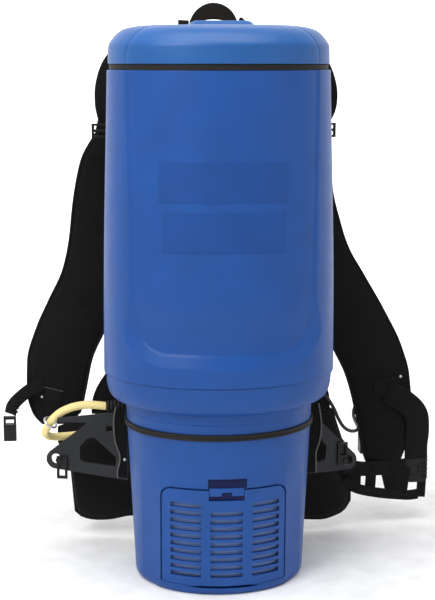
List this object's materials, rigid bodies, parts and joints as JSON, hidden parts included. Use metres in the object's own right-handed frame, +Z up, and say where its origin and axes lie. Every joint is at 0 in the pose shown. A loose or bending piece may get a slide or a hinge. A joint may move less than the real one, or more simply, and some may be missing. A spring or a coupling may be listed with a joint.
{
  "type": "backpack vacuum cleaner",
  "caption": "Backpack vacuum cleaner with a tall bag housing under a lift-off lid, a motor housing with a louvred exhaust door, and a padded shoulder and hip harness.",
  "frame": {"origin": "middle of the flat base of the motor housing, on the housing's axis", "axes": "+Z up along the housing to the hose inlet, +Y towards the wearer, +X to the right as seen from the exhaust door"},
  "size_m": [0.508, 0.2696, 0.617],
  "materials": {
    "blue_plastic": "fine satin texture",
    "black_rubber": "matte",
    "black_plastic": "satin",
    "slate_plastic": "satin",
    "steel": "zinc plated",
    "bag_paper": "soft filter paper",
    "bag_card": "pressed card",
    "filter_foam": "open foam",
    "filter_fibre": "pleated fibre",
    "aluminium": "pressed sheet",
    "copper_winding": "enamelled wire on a steel core",
    "carbon": "matte",
    "yellow_cord": "satin jacket",
    "black_cord": "satin jacket",
    "brass": "bright",
    "black_webbing": "woven",
    "brown_webbing": "woven",
    "pad_fabric": "knitted mesh over foam",
    "red_rocker": "gloss"
  },
  "bodies": {
    "housing": {"bag_housing": "blue_plastic", "lower_collar": "blue_plastic", "motor_housing": "blue_plastic", "base_cover": "blue_plastic", "retaining_band": "black_rubber", "lid_gasket": "black_rubber", "inlet_seal": "black_rubber", "latch_brackets": "blue_plastic", "latch_pins": "steel", "filter_bag": "bag_paper", "bag_collar": "bag_card", "foam_prefilter": "filter_foam", "prefilter_grid": "black_plastic", "fan_case": "aluminium", "motor_frame": "slate_plastic", "motor_field": "copper_winding", "motor_bearings": "steel", "motor_gasket": "black_rubber", "motor_foot": "black_rubber", "carbon_brushes": "carbon", "exhaust_filter": "filter_fibre", "door_hinge_pin": "steel", "cord_strain_relief": "black_rubber", "power_cord": "yellow_cord", "cord_plug": "black_rubber", "plug_blades": "brass", "cord_retainer_strap": "black_webbing", "cord_ring": "steel", "switch_cable": "black_cord", "cable_gland": "black_rubber", "switch_pod": "black_plastic", "back_plate": "slate_plastic", "plate_screws": "steel", "left_wing": "slate_plastic", "right_wing": "slate_plastic", "wing_screws": "steel", "back_pad": "pad_fabric", "hip_pad": "pad_fabric", "left_shoulder_pad": "pad_fabric", "right_shoulder_pad": "pad_fabric", "left_upper_webbing": "black_webbing", "right_upper_webbing": "black_webbing", "strap_adjusters": "black_plastic", "side_straps": "black_webbing", "carry_handle": "brown_webbing", "lower_webbing": "black_webbing", "waist_buckle": "black_plastic", "sternum_webbing": "black_webbing"},
    "lid": {"lid": "blue_plastic"},
    "inlet_swivel": {"hose_inlet_collar": "slate_plastic"},
    "left_latch": {"left_lid_latch": "black_plastic"},
    "right_latch": {"right_lid_latch": "black_plastic"},
    "door": {"exhaust_door": "blue_plastic"},
    "door_latch": {"door_latch_tab": "blue_plastic"},
    "rotor": {"motor_rotor": "copper_winding", "impeller": "aluminium"},
    "rocker": {"switch_rocker": "red_rocker"},
    "hanging_buckle": {"sternum_buckle": "black_plastic"},
    "left_loop": {"left_wing_loop": "black_plastic"},
    "right_loop": {"right_wing_loop": "black_plastic"}
  },
  "joints": [
    {"name": "lid_lift", "type": "slide", "parent": "housing", "child": "lid", "axis": [0, 0, 1], "range_m": [0, 0.09]},
    {"name": "inlet_turn", "type": "hinge", "parent": "lid", "child": "inlet_swivel", "pos_m": [0, 0.008, 0.575], "axis": [0, 0, 1], "continuous": true},
    {"name": "left_latch_swing", "type": "hinge", "parent": "housing", "child": "left_latch", "pos_m": [-0.07, 0.0765, 0.509], "axis": [-1, 0, 0], "range_deg": [0, 6.5]},
    {"name": "right_latch_swing", "type": "hinge", "parent": "housing", "child": "right_latch", "pos_m": [0.07, 0.0765, 0.509], "axis": [-1, 0, 0], "range_deg": [0, 6.5]},
    {"name": "exhaust_door_tilt", "type": "hinge", "parent": "housing", "child": "door", "pos_m": [0, -0.0735, 0.014], "axis": [1, 0, 0], "range_deg": [0, 28]},
    {"name": "door_latch_press", "type": "slide", "parent": "door", "child": "door_latch", "axis": [0, 0, -1], "range_m": [0, 0.0025], "stiffness_N_per_m": 300, "springref_m": -0.0005},
    {"name": "rotor_spin", "type": "hinge", "parent": "housing", "child": "rotor", "pos_m": [0, -0.004, 0.1], "axis": [0, 0, 1], "continuous": true},
    {"name": "switch_rock", "type": "hinge", "parent": "housing", "child": "rocker", "pos_m": [0.195, 0.1606, 0.102], "axis": [0, 1, 0], "range_deg": [-6, 6]},
    {"name": "buckle_swing", "type": "hinge", "parent": "housing", "child": "hanging_buckle", "pos_m": [-0.235, 0.131, 0.143], "axis": [1, 0, 0], "range_deg": [-30, 30]},
    {"name": "left_loop_swing", "type": "hinge", "parent": "housing", "child": "left_loop", "pos_m": [-0.17623, 0.08165, 0.106], "axis": [0.225, 0.9744, 0], "range_deg": [-30, 30]},
    {"name": "right_loop_swing", "type": "hinge", "parent": "housing", "child": "right_loop", "pos_m": [0.15287, 0.07993, 0.09768], "axis": [-0.2079, 0.9781, 0], "range_deg": [-30, 30]}
  ]
}
